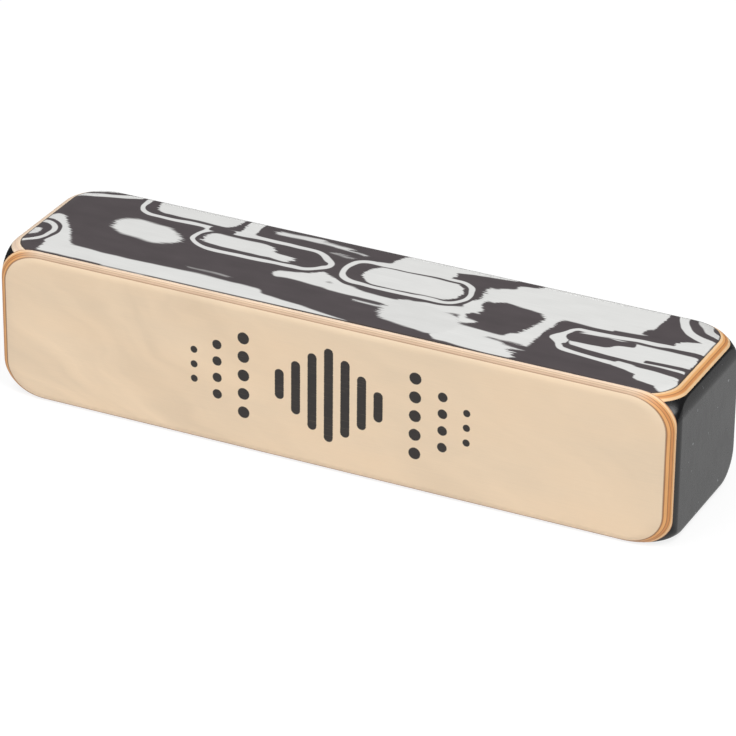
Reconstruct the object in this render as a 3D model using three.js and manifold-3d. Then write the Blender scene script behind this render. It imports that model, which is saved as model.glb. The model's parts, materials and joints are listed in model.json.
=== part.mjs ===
// A hand-held double shaker: a black wooden block with two routed chambers of loose
// beads, closed by a birch plywood plate on the front and a veneered plywood plate on top.
// Units are millimetres. X runs along the block, the front faces -Y and Z points up.
// The origin lies at the centre of the block's underside.

import * as THREE from 'three';
import { ConvexGeometry } from 'three/addons/geometries/ConvexGeometry.js';
import { mergeVertices } from 'three/addons/utils/BufferGeometryUtils.js';
import Module from 'manifold-3d';

// The finished block, over everything
const blockLength = 200;
const blockDepth = 47.8;
const blockHeight = 44.8;

// Its rounding, sanded after the plates are glued on. A sharper block is drawn inside it,
// and an egg is rolled over that: as high and deep as the long edges' radius, and longer
// along the block. The sharper block's corners are taken off by balls, whose centres lie
// cornerReach in from its faces.
const longEdgeRadius = 2.8;
const endEdgeReach = 5.9;
const cornerReach = 7.6;

// Front plate, from the face inwards
const frontVeneerThickness = 0.6;
const frontCoreThickness = 1.1;
const frontBackThickness = 1.1;

// Top plate, from the face down. It butts against the back of the front plate.
const topVeneerThickness = 0.4;
const topUpperThickness = 0.25;
const topCoreThickness = 0.8;
const topLowerThickness = 0.55;

// Block under the plates, with a chamber on each side of a rib
const endWall = 12;
const backWall = 5;
const floorWall = 5;
const middleRib = 6;
const pocketCornerRadius = 5;

// Loose beads, one row in each chamber
const leftBeadDiameter = 4;
const rightBeadDiameter = 3;
const beadClearance = 0.3;
const leftBeadCount = 12;
const rightBeadCount = 16;

// Where the beads lie: how much of their way to the plate or to the back wall they use,
// and the turn in radians from one bead to the next
const scatterShare = 0.7;
const scatterTurn = 2.4;

// Length by which a cutting shape runs past the solid that it cuts
const overrun = 10;

// Facets of the round forms
const cornerSteps = 10;
const edgeSteps = 6;
const pocketArcSteps = 8;
const beadColumns = 12;
const beadRows = 8;

const wasm = await Module();
wasm.setup();

const frontThickness = frontVeneerThickness + frontCoreThickness + frontBackThickness;
const topThickness = topVeneerThickness + topUpperThickness + topCoreThickness + topLowerThickness;
const frontFace = -blockDepth / 2;
const backFace = blockDepth / 2;
const frontPlateBack = frontFace + frontThickness;
const topPlateUnderside = blockHeight - topThickness;
const chamberBack = backFace - backWall;
const chamberLength = (blockLength - 2 * endWall - middleRib) / 2;
const chamberOffset = (chamberLength + middleRib) / 2;

function material(color, roughness, metalness = 0) {
  return new THREE.MeshStandardMaterial({ color, roughness, metalness });
}

function solidFrom(geometry) {
  const bare = geometry.clone();
  bare.deleteAttribute('normal');
  bare.deleteAttribute('uv');
  const merged = mergeVertices(bare);
  return new wasm.Manifold(new wasm.Mesh({
    numProp: 3,
    vertProperties: merged.attributes.position.array,
    triVerts: Uint32Array.from(merged.index.array),
  }));
}

function geometryFrom(solid) {
  const { vertProperties, triVerts } = solid.getMesh();
  const geometry = new THREE.BufferGeometry();
  geometry.setAttribute('position', new THREE.BufferAttribute(vertProperties, 3));
  geometry.setIndex(new THREE.BufferAttribute(triVerts, 1));
  geometry.computeVertexNormals();
  return geometry;
}

function meshFrom(name, geometry, look) {
  const mesh = new THREE.Mesh(geometry, look);
  mesh.name = name;
  return mesh;
}

// A box between two corners
function boxBetween(low, high) {
  const size = new THREE.Vector3().subVectors(high, low);
  const geometry = new THREE.BoxGeometry(size.x, size.y, size.z);
  const centre = new THREE.Vector3().addVectors(low, high).multiplyScalar(0.5);
  return geometry.translate(centre.x, centre.y, centre.z);
}

// Unit vectors spread over the octant in which x, y and z are all positive
function octantDirections(steps) {
  const directions = [];
  for (let row = 0; row <= steps; row += 1) {
    const polar = (row / steps) * (Math.PI / 2);
    for (let column = 0; column <= row; column += 1) {
      const turn = row > 0 ? (column / row) * (Math.PI / 2) : 0;
      directions.push(new THREE.Vector3().setFromSphericalCoords(1, polar, turn));
    }
  }
  return directions;
}

// One corner of the block, seen from its ball's centre. The ball just touches the sharper
// block's long edges.
function cornerPoints() {
  const ballRadius = cornerReach * Math.SQRT2;
  const egg = new THREE.Vector3(endEdgeReach, longEdgeRadius, longEdgeRadius);
  const rolled = octantDirections(edgeSteps).map((way) => way.multiply(egg));
  const points = [];
  for (const direction of octantDirections(cornerSteps)) {
    const { x, y, z } = direction;
    const toFace = cornerReach / Math.max(x, y, z);
    const point = direction.multiplyScalar(Math.min(ballRadius, toFace));
    for (const step of rolled) {
      points.push(point.clone().add(step));
    }
  }
  return points;
}

// The whole block as it is sanded, before it is parted into its layers
function roundedBlock() {
  const points = [];
  const centre = new THREE.Vector3(
    blockLength / 2 - cornerReach - endEdgeReach,
    blockDepth / 2 - cornerReach - longEdgeRadius,
    blockHeight / 2 - cornerReach - longEdgeRadius,
  );
  const corner = cornerPoints();
  for (const x of [-1, 1]) {
    for (const y of [-1, 1]) {
      for (const z of [-1, 1]) {
        const side = new THREE.Vector3(x, y, z);
        for (const point of corner) {
          points.push(point.clone().add(centre).multiply(side));
        }
      }
    }
  }
  const geometry = new ConvexGeometry(points);
  geometry.translate(0, 0, blockHeight / 2);
  return solidFrom(geometry);
}

const block = roundedBlock();

// The share of the rounded block between two corners
function cutFromBlock(low, high) {
  return block.intersect(solidFrom(boxBetween(low, high)));
}

// Plies of the front plate, over the block's whole height
function frontPlate() {
  const plies = [
    ['front_birch_veneer', frontVeneerThickness, material(0xe8cfae, 0.55)],
    ['front_core_ply', frontCoreThickness, material(0xd9974f, 0.7)],
    ['front_back_ply', frontBackThickness, material(0xe9c08c, 0.7)],
  ];
  const plate = new THREE.Group();
  let face = frontFace;
  for (const [name, thickness, look] of plies) {
    const low = new THREE.Vector3(-blockLength, face, -overrun);
    const high = new THREE.Vector3(blockLength, face + thickness, blockHeight + overrun);
    plate.add(meshFrom(name, geometryFrom(cutFromBlock(low, high)), look));
    face += thickness;
  }
  return plate;
}

// Plies of the top plate, which ends at the back of the front plate
function topPlate() {
  const plies = [
    ['top_swirl_veneer', topVeneerThickness, material(0x8d8a88, 0.4)],
    ['top_upper_ply', topUpperThickness, material(0xeecfa2, 0.7)],
    ['top_core_ply', topCoreThickness, material(0xd9974f, 0.7)],
    ['top_lower_ply', topLowerThickness, material(0xe9c08c, 0.7)],
  ];
  const plate = new THREE.Group();
  let face = blockHeight;
  for (const [name, thickness, look] of plies) {
    const low = new THREE.Vector3(-blockLength, frontPlateBack, face - thickness);
    const high = new THREE.Vector3(blockLength, backFace + overrun, face);
    plate.add(meshFrom(name, geometryFrom(cutFromBlock(low, high)), look));
    face -= thickness;
  }
  return plate;
}

// A chamber as a router leaves it from the front: round in its two lower corners,
// and open to the front and to the top
function chamberPocket(centreX) {
  const halfLength = chamberLength / 2;
  const top = blockHeight + overrun;
  const outline = new THREE.Shape();
  outline.moveTo(-halfLength, top);
  outline.lineTo(-halfLength, floorWall + pocketCornerRadius);
  outline.absarc(-halfLength + pocketCornerRadius, floorWall + pocketCornerRadius,
    pocketCornerRadius, Math.PI, 1.5 * Math.PI);
  outline.absarc(halfLength - pocketCornerRadius, floorWall + pocketCornerRadius,
    pocketCornerRadius, 1.5 * Math.PI, 2 * Math.PI);
  outline.lineTo(halfLength, top);
  outline.closePath();
  const pocketDepth = chamberBack - frontFace + overrun;
  const pocket = new THREE.ExtrudeGeometry(outline, {
    depth: pocketDepth,
    bevelEnabled: false,
    curveSegments: pocketArcSteps,
  });
  pocket.rotateX(Math.PI / 2);
  pocket.translate(centreX, chamberBack, 0);
  return solidFrom(pocket);
}

function bodyBlock() {
  const low = new THREE.Vector3(-blockLength, frontPlateBack, -overrun);
  const high = new THREE.Vector3(blockLength, backFace + overrun, topPlateUnderside);
  const body = cutFromBlock(low, high)
    .subtract(chamberPocket(-chamberOffset))
    .subtract(chamberPocket(chamberOffset));
  return meshFrom('body_block', geometryFrom(body), material(0x2b2b2c, 0.5));
}

// A row of beads on a chamber's floor. Each has its own lane from the front to the back.
function beadRow(side, centreX, count, diameter, look) {
  const row = new THREE.Group();
  const radius = diameter / 2;
  const laneWidth = (chamberLength - 2 * pocketCornerRadius) / count;
  const middle = (frontPlateBack + chamberBack) / 2;
  const travel = (chamberBack - frontPlateBack) / 2 - radius - beadClearance;
  for (let index = 0; index < count; index += 1) {
    const bead = meshFrom(
      `${side}_bead_${String(index + 1).padStart(2, '0')}`,
      new THREE.SphereGeometry(radius, beadColumns, beadRows),
      look,
    );
    const lane = index - (count - 1) / 2;
    bead.position.set(
      centreX + lane * laneWidth,
      middle + travel * scatterShare * Math.sin(index * scatterTurn),
      floorWall + beadClearance + radius,
    );
    row.add(bead);
  }
  return row;
}

const shaker = new THREE.Group();
shaker.add(bodyBlock());
shaker.add(frontPlate());
shaker.add(topPlate());
const steel = material(0xb9bcc0, 0.3, 0.9);
const paleBead = material(0xd8d2c0, 0.35);
shaker.add(beadRow('left', -chamberOffset, leftBeadCount, leftBeadDiameter, steel));
shaker.add(beadRow('right', chamberOffset, rightBeadCount, rightBeadDiameter, paleBead));

export default shaker;
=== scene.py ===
"""The looks of a hand-held double shaker: a black wooden block with two chambers of loose
beads, a birch plywood plate on its front and a swirl-veneered plywood plate on its top.

Lengths are millimetres, except for the floor and the lamps, which are placed in metres.
X runs along the block, the front faces -Y and Z points up, with the origin at the centre of
the underside.
"""

import json
import math
from typing import NamedTuple

import bmesh
import bpy
import numpy as np
from mathutils import Matrix, Vector


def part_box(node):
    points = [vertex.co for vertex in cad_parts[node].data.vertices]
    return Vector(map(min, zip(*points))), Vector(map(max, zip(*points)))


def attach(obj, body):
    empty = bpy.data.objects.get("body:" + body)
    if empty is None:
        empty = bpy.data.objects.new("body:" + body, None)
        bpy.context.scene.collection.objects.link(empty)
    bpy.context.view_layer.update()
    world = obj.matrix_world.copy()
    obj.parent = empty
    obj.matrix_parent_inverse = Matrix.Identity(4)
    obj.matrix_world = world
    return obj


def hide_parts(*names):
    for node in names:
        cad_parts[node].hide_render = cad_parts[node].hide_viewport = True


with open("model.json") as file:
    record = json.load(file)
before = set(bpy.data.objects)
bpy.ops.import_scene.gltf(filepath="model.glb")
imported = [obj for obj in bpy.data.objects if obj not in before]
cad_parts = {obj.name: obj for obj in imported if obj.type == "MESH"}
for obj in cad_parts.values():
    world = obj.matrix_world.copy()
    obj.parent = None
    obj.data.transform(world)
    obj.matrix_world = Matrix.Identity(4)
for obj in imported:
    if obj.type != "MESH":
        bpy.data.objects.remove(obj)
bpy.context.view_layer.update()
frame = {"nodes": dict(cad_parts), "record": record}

MM = 0.001

# The block and its layers
LENGTH, DEPTH, HEIGHT = 200.0, 47.8, 44.8

# Its rounding. A sharper block lies inside it, whose corners are taken off by balls with
# their centres CORNER_REACH in from its faces. An egg is rolled over that, as high and deep
# as the long edges' radius and longer along the block.
LONG_EDGE_RADIUS = 2.8
END_EDGE_REACH = 5.9
CORNER_REACH = 7.6

# Cuts of its skin, counted from each side inwards: fine ones where the edges turn, then
# coarser ones where the corners turn
FINE_CUT, FINE_CUTS = 0.3, 16
COARSE_CUT, COARSE_CUTS = 0.85, 10

FRONT_FACE = -DEPTH / 2
FRONT_VENEER, FRONT_CORE, FRONT_BACKING = 0.6, 1.1, 1.1
FRONT_PLATE_BACK = FRONT_FACE + FRONT_VENEER + FRONT_CORE + FRONT_BACKING
TOP_VENEER, TOP_UPPER, TOP_CORE, TOP_LOWER = 0.4, 0.25, 0.8, 0.55
TOP_PLATE_UNDERSIDE = HEIGHT - TOP_VENEER - TOP_UPPER - TOP_CORE - TOP_LOWER

# The two chambers routed into the block
END_WALL, MIDDLE_RIB, BACK_WALL = 12.0, 6.0, 5.0
CHAMBER_LENGTH = (LENGTH - 2 * END_WALL - MIDDLE_RIB) / 2
CHAMBER_OFFSET = (CHAMBER_LENGTH + MIDDLE_RIB) / 2
CHAMBER_FLOOR = 5.0
CHAMBER_BACK = DEPTH / 2 - BACK_WALL
CHAMBER_CORNER = 5.0
OVERRUN = 10

# How near two lengths or two directions lie that count as the same
SAME_LENGTH = 0.01
SAME_PLANE = 1e-6
SAME_WAY = 0.999

# Colours of the plies' edges as on a paint card: first those of end grain, then the paler
# ones that show along the block
GLUE, BROWN, AMBER, ORANGE = (150, 98, 60), (188, 134, 98), (208, 142, 84), (228, 168, 106)
CREAM = (240, 200, 152)
UMBER, DUSKY, SAND, BLUSH = (176, 144, 116), (206, 176, 148), (222, 194, 164), (240, 214, 188)

# Bands on the plates' edges, from the face inwards: the depth at which a band starts, its
# colour at the block's ends and its colour along the block
FRONT_BANDS = [
    (0.0, UMBER, UMBER),
    (0.7, GLUE, UMBER),
    (0.8, ORANGE, DUSKY),
    (1.2, GLUE, UMBER),
    (1.3, AMBER, SAND),
    (1.75, GLUE, UMBER),
    (1.86, ORANGE, BLUSH),
    (2.2, CREAM, BLUSH),
    (2.62, BROWN, BLUSH),
]
TOP_BANDS = [
    (0.0, CREAM, BLUSH),
    (0.63, ORANGE, ORANGE),
    (0.92, GLUE, GLUE),
    (1.0, AMBER, AMBER),
    (1.3, ORANGE, ORANGE),
    (1.45, CREAM, CREAM),
]

# The mark printed on the front: upright bars in the middle, given by their heights, with
# columns of dots on both sides. A column has its distance from the middle, its count, and
# the dots' pitch and radius.
MARK_X, MARK_Z = 1.5, 23.2
BAR_PITCH, BAR_WIDTH, BAR_ROUNDNESS = 4.9, 2.7, 0.98
BAR_HEIGHTS = [9, 16, 23, 28, 23, 16, 9]
DOT_COLUMNS = [(25.5, 5, 5.6, 1.75), (33.5, 4, 5.0, 1.4), (40.5, 3, 4.4, 1.05)]

# The camera, found from the block's outline in the reference picture: how far it is turned
# about the block, lifted and rolled, in degrees, its place seen from the block's middle,
# and its focal length in pixels of a picture
CAMERA_TURN, CAMERA_LIFT, CAMERA_ROLL = 25.789, 27.566, 0.538
CAMERA_BACK, CAMERA_RIGHT, CAMERA_UP = 1165.4, 1.406, -2.111
FOCAL_PIXELS, PICTURE_PIXELS = 4301.6, 736
SENSOR_WIDTH = 36

# Shares of white in the swirl
WHITE, DARK = 1, 0


class SwirlLayer(NamedTuple):
    """One layer of the swirl.

    A step is how far outside the shapes it ends and its share of white. A shape is a
    rounded oblong: x from the left end, v from the back edge, half length, half width,
    corner radius, and the turn in degrees.
    """

    feather: float  # how far it frays along the grain
    softness: float  # the width of its edge
    melt: float  # how near each other its shapes melt together
    steps: list
    shapes: list


# The swirl of the top veneer, in the order in which its layers cover each other on a dark
# ground
SWIRL = [
    # White fields
    SwirlLayer(feather=0.3, softness=0.8, melt=2.5, steps=[(0, WHITE)], shapes=[
        (9.5, 31, 11, 3.4, 3, 56),
        (44, 44.2, 33, 6.6, 3, 0),
        (86, 46.3, 20, 5.2, 3, 9),
        (88, 27.8, 12.5, 1.5, 1.4, 2),
        (81.5, 25.6, 6.5, 1.2, 1.1, -25),
        (92, 24.6, 7, 1.2, 1.1, 24),
        (86.5, 25.5, 3, 2.4, 2, 0),
        (103, 28.8, 11, 1.7, 1.5, 3),
        (121, 27.0, 9.5, 2.0, 1.8, -13),
        (131.6, 20, 2.6, 11, 2.2, -8),
        (141, 38.6, 13, 5.6, 4, 4),
        (159, 7.5, 22, 10.5, 5, 0),
        (140, 12, 8, 4.5, 4, 0),
        (150.5, 26, 4, 11, 3, 4),
        (195, 38.5, 4, 5, 3, 0),
        (111, 5.8, 9, 4.4, 3.6, -3),
    ]),
    # The soft white spot near the left end
    SwirlLayer(feather=0.6, softness=1.5, melt=6, steps=[(0, WHITE)], shapes=[
        (31.5, 20.2, 8.6, 4.7, 4.7, 8),
        (32.3, 20.6, 11.0, 2.4, 2.4, 6),
    ]),
    # A frayed white field in the middle, and streaks on the dark ground
    SwirlLayer(feather=0.8, softness=0.9, melt=1.5, steps=[(0, 0.95)], shapes=[
        (121, 33.4, 11, 6.5, 5, 10),
        (71, 4.6, 7, 1.0, 0.9, -3),
        (80, 5.0, 8, 0.5, 0.4, 4),
        (88, 6.3, 5, 0.25, 0.2, 9),
        (106, 32.6, 5, 0.35, 0.3, 2),
    ]),
    # Fainter streaks
    SwirlLayer(feather=1.2, softness=0.9, melt=1, steps=[(0, 0.45)], shapes=[
        (87, 9.6, 3, 0.5, 0.4, 12),
        (58, 35.2, 6, 0.3, 0.3, 2),
    ]),
    # Dark patches on the white fields, and a dark line along the front plate
    SwirlLayer(feather=0.5, softness=0.7, melt=1.5, steps=[(0, DARK)], shapes=[
        (142.4, 23.2, 7.6, 7.2, 3.2, 14),
        (136, 27.0, 4.6, 1.8, 1.7, 12),
        (131.5, 3.4, 12, 2.4, 2, -9),
        (128, 10, 3.0, 8.5, 2.8, -8),
        (155, 41.5, 3, 2.2, 2, 14),
        (20, 45.0, 12, 0.7, 0.6, 0),
        (117, 45.3, 47, 0.8, 0.7, 0),
    ]),
    # The dark patch at the right end's back
    SwirlLayer(feather=0.15, softness=0.6, melt=1.2, steps=[(0, DARK)], shapes=[
        (186.5, 6.5, 6.6, 8.4, 3, 0),
        (185.3, 14.6, 7.0, 1.6, 1.2, 2),
        (178.5, 17.4, 7.5, 0.9, 0.8, -4),
    ]),
    # Dark streaks that fray into the white field by the front plate
    SwirlLayer(feather=1.3, softness=0.9, melt=1.5, steps=[(0, DARK)], shapes=[
        (147, 36.2, 5, 0.35, 0.3, 3),
        (152, 37.4, 4.5, 1.1, 1.0, 10),
        (155, 40.8, 3.5, 1.1, 1.0, 12),
    ]),
    # Rings: a dark line, a white one and the dark ground inside
    SwirlLayer(
        feather=0,
        softness=0.35,
        melt=4.5,
        steps=[(1.3, DARK), (0, WHITE), (-1.6, DARK)],
        shapes=[
            (41, 0, 18.6, 11.2, 6, 0),
            (65, 16.2, 20, 6.9, 6.5, 0),
            (79.5, 16.3, 7.3, 2.6, 2.5, 0),
            (109.6, 16.3, 19.8, 7.6, 7.4, 0),
            (-4, 33.5, 13.7, 7.6, 7.2, 0),
        ],
    ),
    # The pointed ring that forks towards the right end
    SwirlLayer(
        feather=0,
        softness=0.35,
        melt=1.5,
        steps=[(1.9, DARK), (0, WHITE), (-1.6, DARK)],
        shapes=[
            (160.9, 26.9, 3.2, 4.3, 1.2, 34),
            (191, 22.8, 31, 4.2, 3, -3.2),
            (192, 32, 32, 4.6, 3, 4.5),
        ],
    ),
    # Circles round the back corner at the right
    SwirlLayer(
        feather=0,
        softness=0.4,
        melt=1,
        steps=[(1.1, DARK), (0, WHITE), (-2.6, DARK), (-4.9, 0.85), (-7.4, DARK)],
        shapes=[(200.3, -3.5, 18.4, 18.4, 18.3, 0)],
    ),
    # The ring at the back corner at the left
    SwirlLayer(
        feather=0,
        softness=0.35,
        melt=1,
        steps=[(1.0, DARK), (0, WHITE), (-1.5, DARK)],
        shapes=[(7, -1.2, 14, 8, 3, -18)],
    ),
    # White islands inside the rings
    SwirlLayer(feather=0.3, softness=0.5, melt=2.5, steps=[(0, WHITE)], shapes=[
        (40.2, 0, 13.4, 8.1, 4.5, 0),
        (111.4, 16.4, 15.0, 5.2, 5, 0),
        (186, 27, 24, 4.8, 4.4, 1.5),
        (2, 33.6, 4.0, 2.2, 2.0, 0),
        (7, -2.4, 12, 6, 3, -18),
    ]),
    # White fields that flow over the rings
    SwirlLayer(feather=0.3, softness=0.5, melt=0.8, steps=[(0, WHITE)], shapes=[
        (57.3, 3.6, 1.9, 7.2, 1.8, 0),
        (110.5, 6.6, 9, 3.2, 3, -2),
        (101, 8.8, 4, 1.0, 0.9, -14),
        (124, 2.6, 12, 1.5, 1.2, -9),
        (193.5, 16.6, 5.5, 2.6, 2.4, -14),
        (186, 36.4, 9, 1.6, 1.4, 16),
        (192, 39.0, 7.5, 2.8, 2.4, 12),
    ]),
    # The frayed island inside the long ring
    SwirlLayer(feather=0.6, softness=0.6, melt=2.5, steps=[(0, WHITE)], shapes=[
        (58.5, 16.3, 10, 3.4, 3, 0),
        (67, 17.6, 8.5, 1.9, 1.8, 8),
    ]),
    # The dark core of the pointed ring
    SwirlLayer(feather=0.12, softness=0.4, melt=3, steps=[(0, DARK)], shapes=[
        (167.2, 25.2, 6.6, 2.6, 2.4, -6),
        (173.5, 24.0, 6, 1.3, 1.2, -12),
    ]),
    # Dark cores and lines on the islands
    SwirlLayer(feather=0.15, softness=0.4, melt=1, steps=[(0, DARK)], shapes=[
        (50.4, 10.6, 4.2, 1.6, 1.4, 0),
        (179, 32.5, 17.8, 0.75, 0.7, 6),
        (191.5, 30.0, 7.8, 0.9, 0.8, -2),
        (197.2, 29, 1, 9, 0.9, 0),
        (7.5, 42.2, 3.4, 2.2, 2, -35),
    ]),
]


def tint(red, green, blue):
    """A colour as it is picked from a paint card, from 0 to 255, in the light's own scale."""
    shares = [channel / 255 for channel in (red, green, blue)]
    return [s / 12.92 if s <= 0.04045 else ((s + 0.055) / 1.055) ** 2.4 for s in shares] + [1.0]


# Writing a finish
class Link:
    """A socket of a finish. Sums with it add the nodes that work them out."""

    def __init__(self, finish, socket):
        self.finish = finish
        self.socket = socket

    def maths(self, operation, *values):
        settings = {"operation": operation}
        return self.finish.node("ShaderNodeMath", settings, dict(enumerate(values)))

    def __add__(self, other):
        return self.maths("ADD", self, other)

    def __sub__(self, other):
        return self.maths("SUBTRACT", self, other)

    def __rsub__(self, other):
        return self.maths("SUBTRACT", other, self)

    def __mul__(self, other):
        return self.maths("MULTIPLY", self, other)

    def __abs__(self):
        return self.maths("ABSOLUTE", self)

    __radd__ = __add__
    __rmul__ = __mul__

    def root(self):
        return self.maths("SQRT", self)

    def least(self, other):
        return self.maths("MINIMUM", self, other)

    def most(self, other):
        return self.maths("MAXIMUM", self, other)

    def melted(self, other, reach):
        """The lower of two distances, melted together where they are nearly the same."""
        return self.maths("SMOOTH_MIN", self, other, reach)

    def edge(self, at, width):
        """0 below a level and 1 above it, with a soft edge of the given width."""
        settings = {"interpolation_type": "SMOOTHSTEP"}
        sockets = {"Value": self, "From Min": at - width / 2, "From Max": at + width / 2}
        return self.finish.node("ShaderNodeMapRange", settings, sockets)


class Finish:
    """A material, with one way of adding a node to it."""

    # The colour sockets of a Mix node, which share their names with its other sockets
    MIX_FIRST, MIX_SECOND, MIX_RESULT = 6, 7, 2

    # Past every place of the block
    FAR = 1000

    def __init__(self, name):
        self.material = bpy.data.materials.new(name)
        self.material.use_nodes = True
        self.tree = self.material.node_tree
        self.tree.nodes.clear()
        place = self.node("ShaderNodeTexCoord", output="Object")
        self.place = self.vector("MULTIPLY", place, (1 / MM, 1 / MM, 1 / MM))

    def node(self, kind, settings=None, sockets=None, output=0):
        """Adds a node, with its settings first and then its sockets' values or links."""
        node = self.tree.nodes.new(kind)
        for name, value in (settings or {}).items():
            setattr(node, name, value)
        for name, value in (sockets or {}).items():
            if isinstance(value, Link):
                self.tree.links.new(value.socket, node.inputs[name])
            else:
                node.inputs[name].default_value = value
        return Link(self, node.outputs[output]) if node.outputs else None

    def vector(self, operation, *values, output=0):
        settings = {"operation": operation}
        return self.node("ShaderNodeVectorMath", settings, dict(enumerate(values)), output)

    def parts(self, place):
        """The x, y and z of a place."""
        sockets = {"Vector": place}
        return [self.node("ShaderNodeSeparateXYZ", {}, sockets, axis) for axis in "XYZ"]

    def joined(self, x, y, z):
        """A place from its x, y and z."""
        return self.node("ShaderNodeCombineXYZ", {}, {"X": x, "Y": y, "Z": z})

    def noise(self, size, detail, roughness=0.5, place=None, shift=0.0):
        """Cloudy noise around 0. size is a cloud's length, depth and height, and shift keeps
        two noises of one size apart."""
        scaled = self.vector("MULTIPLY", place or self.place, [1 / s for s in size])
        moved = self.vector("ADD", scaled, (shift, shift * 1.7, shift * 2.3))
        sockets = {"Vector": moved, "Scale": 1.0, "Detail": detail, "Roughness": roughness}
        return self.node("ShaderNodeTexNoise", {}, sockets) - 0.5

    def mixed(self, share, first, second, blend="MIX"):
        """Two colours mixed by a share."""
        settings = {"data_type": "RGBA", "blend_type": blend}
        sockets = {0: share, self.MIX_FIRST: first, self.MIX_SECOND: second}
        return self.node("ShaderNodeMix", settings, sockets, self.MIX_RESULT)

    def shaded(self, colour, amount):
        """A colour made lighter or darker by an amount that varies around 0."""
        level = amount + 1
        return self.mixed(1.0, colour, self.joined(level, level, level), "MULTIPLY")

    def oblong(self, place, x, y, half_length, half_width, radius, turn):
        """The distance outside a rounded oblong, and below 0 inside it."""
        settings = {"vector_type": "TEXTURE"}
        rotation = (0, 0, math.radians(turn))
        sockets = {"Vector": place, "Location": (x, y, 0), "Rotation": rotation}
        own = self.node("ShaderNodeMapping", settings, sockets)
        flat = self.vector("ABSOLUTE", own)
        straight = (half_length - radius, half_width - radius, self.FAR)
        beyond = self.vector("MAXIMUM", self.vector("SUBTRACT", flat, straight), (0, 0, 0))
        return self.vector("LENGTH", beyond, output=1) - radius

    def union(self, place, shapes, reach):
        """The distance outside several oblongs that melt together."""
        whole = None
        for shape in shapes:
            distance = self.oblong(place, *shape)
            whole = distance if whole is None else whole.melted(distance, reach)
        return whole

    def surface(self, colour, roughness, height, depth, **constants):
        """Ends the finish. height is the relief and depth its strength."""
        relief = {"Strength": depth, "Distance": MM, "Height": height}
        normal = self.node("ShaderNodeBump", {}, relief)
        sockets = {"Base Color": colour, "Roughness": roughness, "Normal": normal}
        for name, value in constants.items():
            sockets[name.replace("_", " ")] = value
        shader = self.node("ShaderNodeBsdfPrincipled", {}, sockets)
        self.node("ShaderNodeOutputMaterial", {}, {"Surface": shader})
        return self.material


# The finishes
def swirl_veneer():
    """Dyed veneer, sliced from a block of waved black and white sheets.

    Its nodes come near the most that the renderer takes in one finish: with six more
    shapes, it renders black.
    """
    finish = Finish("swirl_veneer")
    x, y, z = finish.parts(finish.place)
    run = x + LENGTH / 2 + finish.noise((19, 12, 40), 2.0, shift=3.1) * 4.5
    across = DEPTH / 2 - y + finish.noise((19, 12, 40), 2.0, shift=7.7) * 2.6
    streak = finish.noise((8, 0.5, 40), 4.0, 0.65, shift=1.3) * 11
    swell = finish.noise((13, 9, 40), 1.0, shift=4.6) * 1.1 + 1
    white = 0.0
    for layer in SWIRL:
        place = finish.joined(run + streak * layer.feather, across, 0)
        distance = finish.union(place, layer.shapes, layer.melt) * swell
        distance = distance + streak * layer.feather * 0.06
        for reach, share in layer.steps:
            outside = distance.edge(reach, layer.softness)
            white = outside * (white - share) + share
    grain = finish.noise((14, 0.3, 40), 4.0, 0.65, shift=2.2)
    blotch = finish.noise((9, 4, 40), 2.0, shift=9.0)
    pale = finish.shaded(tint(225, 225, 223), grain * 0.14 + blotch * 0.10)
    dark = finish.shaded(tint(77, 70, 72), grain * 0.40 + blotch * 0.35)

    # A dark line on the veneer's sanded edge, higher up at the back
    back = y.edge(DEPTH / 2 - 2.3, 0.8)
    rim = (HEIGHT - z + back * 0.22 + blotch * 0.1).edge(0.3, 0.08)

    # A dark joint with the front plate, which fades towards its ends
    at_joint = (FRONT_PLATE_BACK + 0.7 - y).edge(0, 0.3)
    joint = at_joint * (blotch * 2 - abs(x + 10) * 0.016 + 1.7)
    lines = rim.most(joint.least(1)) * 0.88
    colour = finish.mixed(lines, finish.mixed(white, dark, pale), tint(64, 54, 48))
    roughness = 0.42 + grain * 0.2 - white * 0.04
    return finish.surface(colour, roughness, grain * 0.02, 0.5)


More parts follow.
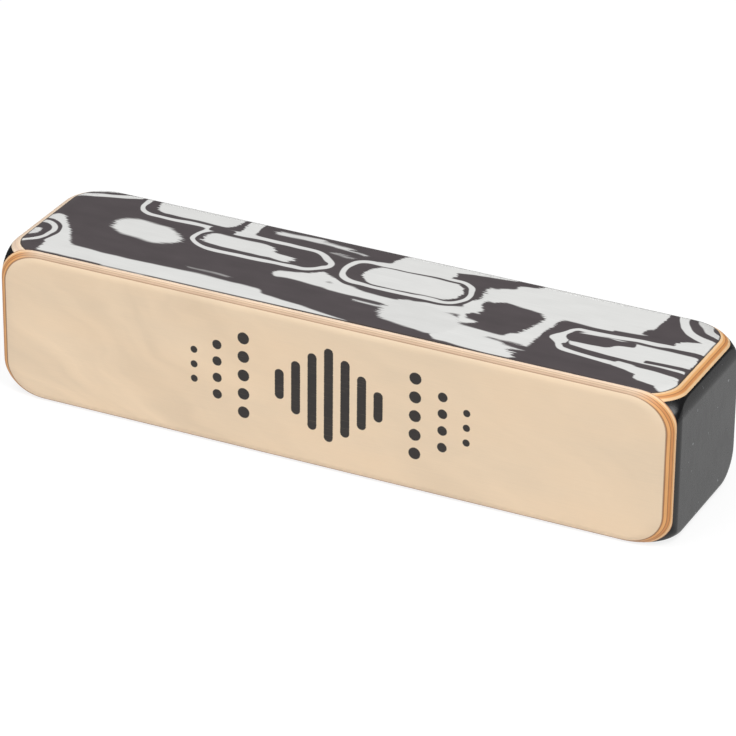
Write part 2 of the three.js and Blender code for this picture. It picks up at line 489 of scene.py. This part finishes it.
def printed_birch():
    """Rotary-cut birch, with the mark printed on it in dark ink."""
    finish = Finish("birch_veneer")
    x, y, z = finish.parts(finish.place)

    # A leaning figure, stronger towards the left
    bend = finish.noise((60, 60, 14), 2.0, shift=4.0)
    leaning = finish.joined(x * 0.62 + z * 0.78 + bend * 30, y, z)
    figure = finish.noise((11, 60, 34), 3.0, 0.5, place=leaning, shift=6.1)
    left = 1 - (x + bend * 50).edge(-28, 55)
    fibre = finish.noise((22, 2, 0.35), 3.0, 0.6, shift=1.1)
    pores = finish.noise((3.5, 2, 0.16), 2.0, 0.7, shift=8.4)
    cloud = finish.noise((45, 30, 16), 3.0, 0.5, shift=2.7)
    level = figure * (0.14 + left * 0.26) + fibre * 0.07 + pores * 0.05 + cloud * 0.22
    wood = finish.shaded(tint(232, 209, 180), level)
    warm = finish.mixed((cloud * 1.6 + 0.35).edge(0.5, 1.0) * 0.5, wood, tint(229, 200, 166))

    # The distance outside the mark
    front = finish.joined(x, z, 0)
    mark = None
    middle = (len(BAR_HEIGHTS) - 1) / 2
    half = BAR_WIDTH / 2
    for place, height in enumerate(BAR_HEIGHTS):
        centre = MARK_X + (place - middle) * BAR_PITCH
        radius = half * BAR_ROUNDNESS
        bar = finish.oblong(front, centre, MARK_Z, half, height / 2, radius, 0)
        mark = bar if mark is None else mark.least(bar)
    for offset, count, pitch, radius in DOT_COLUMNS:
        for place in range(count):
            up = MARK_Z + (place - (count - 1) / 2) * pitch
            for side in (-1, 1):
                centre = (MARK_X + side * offset, up, 0)
                dot = finish.vector("DISTANCE", front, centre, output=1) - radius
                mark = mark.least(dot)

    # Ink on the face alone, slightly worn
    printed = (1 - (mark + pores * 0.25).edge(0, 0.16)) * (1 - y.edge(FRONT_FACE + 0.3, 0.1))
    worn = (pores * 2.0 + fibre * 1.5 + 0.5).edge(0.95, 0.5) * 0.08
    ink = finish.shaded(tint(24, 15, 9), pores * 0.6)
    colour = finish.mixed(printed * (1 - worn), warm, ink)
    roughness = 0.52 + fibre * 0.15 - printed * 0.08
    return finish.surface(colour, roughness, pores * 0.02 + fibre * 0.015, 0.5)


def ply(name, bands, axis):
    """Plywood seen on its edge, with its bands stacked along an axis."""
    finish = Finish(name)
    x, y, z = finish.parts(finish.place)
    waver = finish.noise((16, 16, 16), 2.0, shift=3.3) * 0.12
    inwards = (y - FRONT_FACE if axis == "y" else HEIGHT - z) + waver
    thin = (2.4, 0.07, 2.4) if axis == "y" else (2.4, 2.4, 0.07)
    streak = finish.noise(thin, 3.0, 0.6, shift=1.9)
    fleck = finish.noise((0.5, 0.5, 0.5), 2.0, 0.6, shift=4.4)
    patchy = finish.noise((8, 8, 8), 2.0, 0.5, shift=7.2)
    at_end = abs(x).edge(LENGTH / 2 - 8.5, 9)
    colour = None
    for start, end_grain, long_grain in bands:
        band = finish.mixed(at_end, tint(*long_grain), tint(*end_grain))
        if colour is None:
            colour = band
        else:
            colour = finish.mixed(inwards.edge(start, 0.12), colour, band)
    if axis == "y":
        # Browner along the lower edge
        lower = 1 - z.edge(5, 4)
        colour = finish.mixed(lower * (1 - at_end) * 0.6, colour, tint(158, 112, 86))
    else:
        # Paler at the left end: painted glare, standing in for strong light that washes out the
        # plies' edge there
        painted_glare_at_left_end = 1 - x.edge(-LENGTH / 2 + 8, 6)
        colour = finish.mixed(painted_glare_at_left_end * 0.7, colour, tint(238, 222, 204))
    level = streak * 0.30 + fleck * 0.12 + patchy * 0.22
    colour = finish.shaded(colour, level)
    return finish.surface(colour, 0.6 + fleck * 0.15, streak * 0.05 + fleck * 0.02, 0.6)


def black_wood():
    """Black-stained wood under a thin satin lacquer, with dust in it."""
    finish = Finish("black_wood")
    _, y, z = finish.parts(finish.place)

    # Sanded off under the top plate and behind the front plate
    upper = (z - (TOP_PLATE_UNDERSIDE - 6.2)).most(0)
    front = (FRONT_PLATE_BACK + 4 - y).most(0)
    sanded_off = (upper * upper + 7).root() * 1.9 + (front * front + 2).root()
    grain = finish.noise((18, 0.5, 0.5), 4.0, 0.6, shift=2.5)
    cloud = finish.noise((14, 12, 10), 3.0, 0.55, shift=5.5)
    smear = finish.noise((3, 2.2, 7), 3.0, 0.6, shift=8.8)
    dust = finish.noise((1.7, 1.7, 1.7), 1.0, 0.5, shift=6.6)
    speck = (dust + cloud * 0.15).edge(0.282, 0.05)
    level = grain * 0.5 + cloud * 0.6 + smear * 0.4
    stain = finish.shaded(tint(20, 20, 21), level)
    colour = finish.mixed(speck * 0.7, stain, tint(186, 188, 190))
    roughness = 0.27 + smear * 0.12 + cloud * 0.08 + speck * 0.3
    relief = grain * 0.006 + speck * 0.03 - sanded_off * 0.6
    return finish.surface(colour, roughness, relief, 0.5, Specular_IOR_Level=0.2)


def steel_bead():
    """A ground steel ball, lightly scuffed."""
    finish = Finish("steel_bead")
    scuff = finish.noise((0.5, 0.5, 0.2), 4.0, 0.7)
    cloud = finish.noise((2, 2, 2), 2.0, shift=3.0)
    colour = finish.shaded(tint(196, 198, 201), cloud * 0.25 + scuff * 0.12)
    return finish.surface(colour, 0.24 + scuff * 0.3, scuff * 0.01, 0.5, Metallic=1.0)


def pale_bead():
    """A cream glass-ceramic bead with a fine mottle."""
    finish = Finish("pale_bead")
    mottle = finish.noise((0.6, 0.6, 0.6), 4.0, 0.65)
    cloud = finish.noise((2.5, 2.5, 2.5), 2.0, shift=5.0)
    colour = finish.shaded(tint(222, 214, 194), mottle * 0.25 + cloud * 0.2)
    return finish.surface(colour, 0.3 + mottle * 0.25, mottle * 0.02, 0.5)


# The outside form
def within_corner(places, squares):
    """The nearest places inside a corner's ball, counting only what lies past its centre.

    squares are the ball's half axes squared, as it is an egg in the measure used.
    """
    rounds, least_slope = 12, 1e-9
    past = np.maximum(places, 0)
    way = np.zeros((len(places), 1))
    for _ in range(rounds):
        near = past / (squares + way)
        over = (squares * near**2).sum(axis=1, keepdims=True) - 1
        slope = 2 * (squares * near**2 / (squares + way)).sum(axis=1, keepdims=True)
        way = np.maximum(0, way + over / np.maximum(slope, least_slope))
    return np.where(places > 0, squares * past / (squares + way), places)


def sanded(points):
    """Where points of the sawn block's skin come to lie once the block is sanded round."""
    rounds = 120
    half = np.array((LENGTH, DEPTH, HEIGHT)) / 2
    middle = np.array((0, 0, HEIGHT / 2))
    egg = np.array((END_EDGE_REACH, LONG_EDGE_RADIUS, LONG_EDGE_RADIUS))
    inner = half - CORNER_REACH - egg
    side = np.where(points < middle, -1, 1)

    # Measured in eggs, so that the egg becomes a ball and the corner's ball an egg
    out = (np.abs(points - middle) - inner) / egg
    faces = CORNER_REACH / egg
    squares = 2 * faces**2

    # The nearest point of the sharper block, found by turns on its faces and its corner
    core = out.copy()
    owed_faces, owed_corner = np.zeros_like(core), np.zeros_like(core)
    for _ in range(rounds):
        asked = core + owed_faces
        core = np.minimum(asked, faces)
        owed_faces = asked - core
        asked = core + owed_corner
        core = within_corner(asked, squares)
        owed_corner = asked - core
    away = out - core
    away /= np.linalg.norm(away, axis=1)[:, None]
    return ((core + away) * egg + inner) * side + middle


def spread(half):
    """Places of the cuts along one side, close together where the edges and corners turn."""
    steps = [FINE_CUT * step for step in range(1, FINE_CUTS + 1)]
    fine = FINE_CUT * FINE_CUTS
    steps += [fine + COARSE_CUT * step for step in range(1, COARSE_CUTS + 1)]
    return [half - step for step in steps] + [-half + step for step in steps]


def along(axis):
    """The direction of an axis."""
    return Vector([float(axis == n) for n in range(3)])


def cut_across(bm, place, normal, clear_outer=False):
    """Cuts a mesh by a plane, and may drop what lies beyond it."""
    return bmesh.ops.bisect_plane(
        bm,
        geom=bm.verts[:] + bm.edges[:] + bm.faces[:],
        dist=SAME_PLANE,
        plane_co=place,
        plane_no=normal,
        clear_outer=clear_outer,
    )


def box(low, high):
    """A box between two corners."""
    bm = bmesh.new()
    size = Matrix.Diagonal((*(high - low), 1))
    bmesh.ops.create_cube(bm, size=1, matrix=Matrix.Translation((low + high) / 2) @ size)
    return bm


def sanded_block():
    """The whole rounded block as one closed skin."""
    bm = box(Vector((-LENGTH / 2, -DEPTH / 2, 0)), Vector((LENGTH / 2, DEPTH / 2, HEIGHT)))
    sides = [(LENGTH / 2, 0), (DEPTH / 2, 0), (HEIGHT / 2, HEIGHT / 2)]
    for axis, (half, middle) in enumerate(sides):
        for place in spread(half):
            cut_across(bm, along(axis) * (middle + place), along(axis))
    for vert, place in zip(bm.verts, sanded(np.array([vert.co for vert in bm.verts]))):
        vert.co = place
    for face in bm.faces:
        face.smooth = True
    return bm


def layer_between(block, axis, low, high, behind=None):
    """The share of the block between two depths along an axis, closed where it is cut."""
    bm = block.copy()
    cuts = [(along(axis) * low, -along(axis)), (along(axis) * high, along(axis))]
    if behind is not None:
        cuts.append((Vector((0, behind, 0)), Vector((0, -1, 0))))
    for place, facing in cuts:
        found = cut_across(bm, place, facing, clear_outer=True)["geom_cut"]
        rim = [e for e in found if isinstance(e, bmesh.types.BMEdge) and e.is_boundary]
        if rim:
            bmesh.ops.holes_fill(bm, edges=rim, sides=0)
            for edge in rim:
                edge.smooth = False
    return bm


def made_object(name, bm, unit=MM):
    """Makes an object from a mesh in units of the given length."""
    bmesh.ops.scale(bm, vec=(unit, unit, unit), verts=bm.verts)
    mesh = bpy.data.meshes.new(name)
    bm.to_mesh(mesh)
    bm.free()
    made = bpy.data.objects.new(name, mesh)
    bpy.context.scene.collection.objects.link(made)
    return made


def piece(name, bm, material, body, node):
    """Makes a piece in the place of a CAD node."""
    made = made_object(name, bm)
    made.data.materials.append(material)
    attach(made, body)
    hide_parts(node)
    return made


def chamber_cutter(centre):
    """The shape that a router takes out for one chamber, open to the front and the top."""
    low = Vector((centre - CHAMBER_LENGTH / 2, FRONT_FACE - OVERRUN, CHAMBER_FLOOR))
    high = Vector((centre + CHAMBER_LENGTH / 2, CHAMBER_BACK, HEIGHT + OVERRUN))
    bm = box(low, high)
    lower = [
        edge
        for edge in bm.edges
        if all(abs(vert.co.z - CHAMBER_FLOOR) < SAME_LENGTH for vert in edge.verts)
        and abs(edge.verts[0].co.x - edge.verts[1].co.x) < SAME_LENGTH
    ]
    bmesh.ops.bevel(
        bm,
        geom=lower,
        offset=CHAMBER_CORNER,
        affect="EDGES",
        segments=10,
        profile=0.5,
        material=-1,
    )
    return made_object("chamber_cutter", bm)


def hollowed(block, centres):
    """Routs the chambers out of the block."""
    for centre in centres:
        cutter = chamber_cutter(centre)
        cut = block.modifiers.new("chamber", "BOOLEAN")
        cut.operation = "DIFFERENCE"
        cut.solver = "EXACT"
        cut.object = cutter
        bpy.context.view_layer.update()
        ready = block.evaluated_get(bpy.context.evaluated_depsgraph_get())
        routed = bpy.data.meshes.new_from_object(ready)
        block.modifiers.clear()
        block.data = routed
        bpy.data.objects.remove(cutter)


def bead(node, material, ground):
    """A bead in the place of its CAD node. It is ground flat on its top and bottom, at a
    share of its radius."""
    low, high = (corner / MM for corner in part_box(node))
    centre, radius = (low + high) / 2, (high.z - low.z) / 2
    bm = bmesh.new()
    bmesh.ops.create_icosphere(bm, subdivisions=4, radius=radius)
    for vert in bm.verts:
        vert.co.z = max(-radius * ground, min(radius * ground, vert.co.z))
    for face in bm.faces:
        face.smooth = abs(face.normal.z) < SAME_WAY
    bmesh.ops.translate(bm, vec=centre, verts=bm.verts)
    bodies = frame["record"]["behaviour"]["bodies"]
    body = next(name for name, members in bodies.items() if node in members)
    piece(f"{node}_ball", bm, material, body, node)


# The block, parted into its layers
skin = sanded_block()
front_plies = ply("front_plies", FRONT_BANDS, "y")
top_plies = ply("top_plies", TOP_BANDS, "z")
birch, swirl = printed_birch(), swirl_veneer()
front_layers = [
    ("front_face_veneer", FRONT_VENEER, birch, "birch_veneer", "front_birch_veneer"),
    ("front_middle_ply", FRONT_CORE, front_plies, "core_ply", "front_core_ply"),
    ("front_inner_ply", FRONT_BACKING, front_plies, "pale_ply", "front_back_ply"),
]
top_layers = [
    ("top_face_veneer", TOP_VENEER, swirl, "swirl_veneer", "top_swirl_veneer"),
    ("top_face_ply", TOP_UPPER, top_plies, "pale_ply", "top_upper_ply"),
    ("top_middle_ply", TOP_CORE, top_plies, "core_ply", "top_core_ply"),
    ("top_inner_ply", TOP_LOWER, top_plies, "pale_ply", "top_lower_ply"),
]
depth = FRONT_FACE
for name, thickness, material, slot, node in front_layers:
    cut = layer_between(skin, 1, depth, depth + thickness)
    piece(name, cut, material, "block", node)
    depth += thickness
level = HEIGHT
for name, thickness, material, slot, node in top_layers:
    cut = layer_between(skin, 2, level - thickness, level, behind=FRONT_PLATE_BACK)
    piece(name, cut, material, "block", node)
    level -= thickness
core = layer_between(skin, 2, -1, TOP_PLATE_UNDERSIDE, behind=FRONT_PLATE_BACK)
block = piece("routed_block", core, black_wood(), "block", "body_block")
hollowed(block, (-CHAMBER_OFFSET, CHAMBER_OFFSET))
skin.free()

# The beads: steel ones at the left, pale ones at the right, which are ground flatter
bead_kinds = {
    "left_bead": (steel_bead(), "steel_bead", 0.999),
    "right_bead": (pale_bead(), "pale_bead", 0.97),
}
for node in sorted(frame["nodes"]):
    for kind, (material, slot, ground) in bead_kinds.items():
        if node.startswith(kind):
            bead(node, material, ground)


# The floor that the block stands on, and the light
def floor_finish():
    """A plain pale floor, which looks white and keeps a soft shadow."""
    finish = Finish("floor")
    rays = ("Is Camera Ray", "Is Glossy Ray", "Is Transmission Ray")
    camera_ray, glossy_ray, clear_ray = (
        finish.node("ShaderNodeLightPath", output=ray) for ray in rays
    )
    seen = camera_ray.most(glossy_ray).most(clear_ray)
    plain = finish.node("ShaderNodeBsdfDiffuse", {}, {"Color": (0.86, 0.86, 0.86, 1)})
    glow = finish.node("ShaderNodeEmission", {}, {"Color": (1, 1, 1, 1), "Strength": 1.12})
    both = finish.node("ShaderNodeMixShader", {}, {0: seen * 0.75, 1: plain, 2: glow})
    finish.node("ShaderNodeOutputMaterial", {}, {"Surface": both})
    return finish.material


def floor():
    """A round floor, 12 m across, under the block."""
    bm = bmesh.new()
    bmesh.ops.create_circle(bm, cap_ends=True, segments=96, radius=6)
    made = made_object("floor", bm, unit=1)
    made.data.materials.append(floor_finish())


def lamp(name, place, size, power):
    """A square soft box, aimed at the middle of the block."""
    light = bpy.data.lights.new(name, "AREA")
    light.shape = "SQUARE"
    light.size = size
    light.energy = power
    made = bpy.data.objects.new(name, light)
    made.location = place
    target = Vector((0, 0, HEIGHT / 2 * MM))
    made.rotation_mode = "QUATERNION"
    made.rotation_quaternion = (target - Vector(place)).to_track_quat("-Z", "Y")
    bpy.context.scene.collection.objects.link(made)


def world_light(strength):
    """Even light from all around, which looks white itself."""
    world = bpy.data.worlds.new("studio")
    world.use_nodes = True
    nodes, links = world.node_tree.nodes, world.node_tree.links
    background = nodes["Background"]
    background.inputs["Color"].default_value = (1, 1, 1, 1)
    seen = nodes.new("ShaderNodeLightPath")
    level = nodes.new("ShaderNodeMapRange")
    level.inputs["To Min"].default_value = strength
    level.inputs["To Max"].default_value = 1.0
    links.new(seen.outputs["Is Camera Ray"], level.inputs["Value"])
    links.new(level.outputs["Result"], background.inputs["Strength"])
    bpy.context.scene.world = world


def camera():
    """The camera that the reference picture was taken with."""
    angles = (CAMERA_TURN, CAMERA_LIFT, CAMERA_ROLL)
    turn, lift, roll = (math.radians(angle) for angle in angles)
    away = math.cos(lift)
    back = Vector((math.sin(turn) * away, -math.cos(turn) * away, math.sin(lift)))
    level = Vector((math.cos(turn), math.sin(turn), 0))
    upright = back.cross(level)
    right = level * math.cos(roll) + upright * math.sin(roll)
    up = upright * math.cos(roll) - level * math.sin(roll)
    lens = bpy.data.cameras.new("camera")
    lens.sensor_width = SENSOR_WIDTH
    lens.lens = FOCAL_PIXELS / PICTURE_PIXELS * SENSOR_WIDTH
    lens.clip_start, lens.clip_end = 0.05, 50
    made = bpy.data.objects.new("camera", lens)
    turned = Matrix((right, up, back)).transposed().to_4x4()
    middle = Vector((0, 0, HEIGHT / 2))
    place = middle + back * CAMERA_BACK + right * CAMERA_RIGHT + up * CAMERA_UP
    made.matrix_world = Matrix.Translation(place * MM) @ turned
    bpy.context.scene.collection.objects.link(made)
    bpy.context.scene.camera = made


floor()
lamp("overhead", place=(-0.35, -0.5, 1.1), size=0.9, power=8.0)
lamp("right_side", place=(0.53, -0.42, 1.0), size=0.34, power=7.0)
world_light(0.25)
camera()
bpy.context.scene.view_settings.view_transform = "Standard"
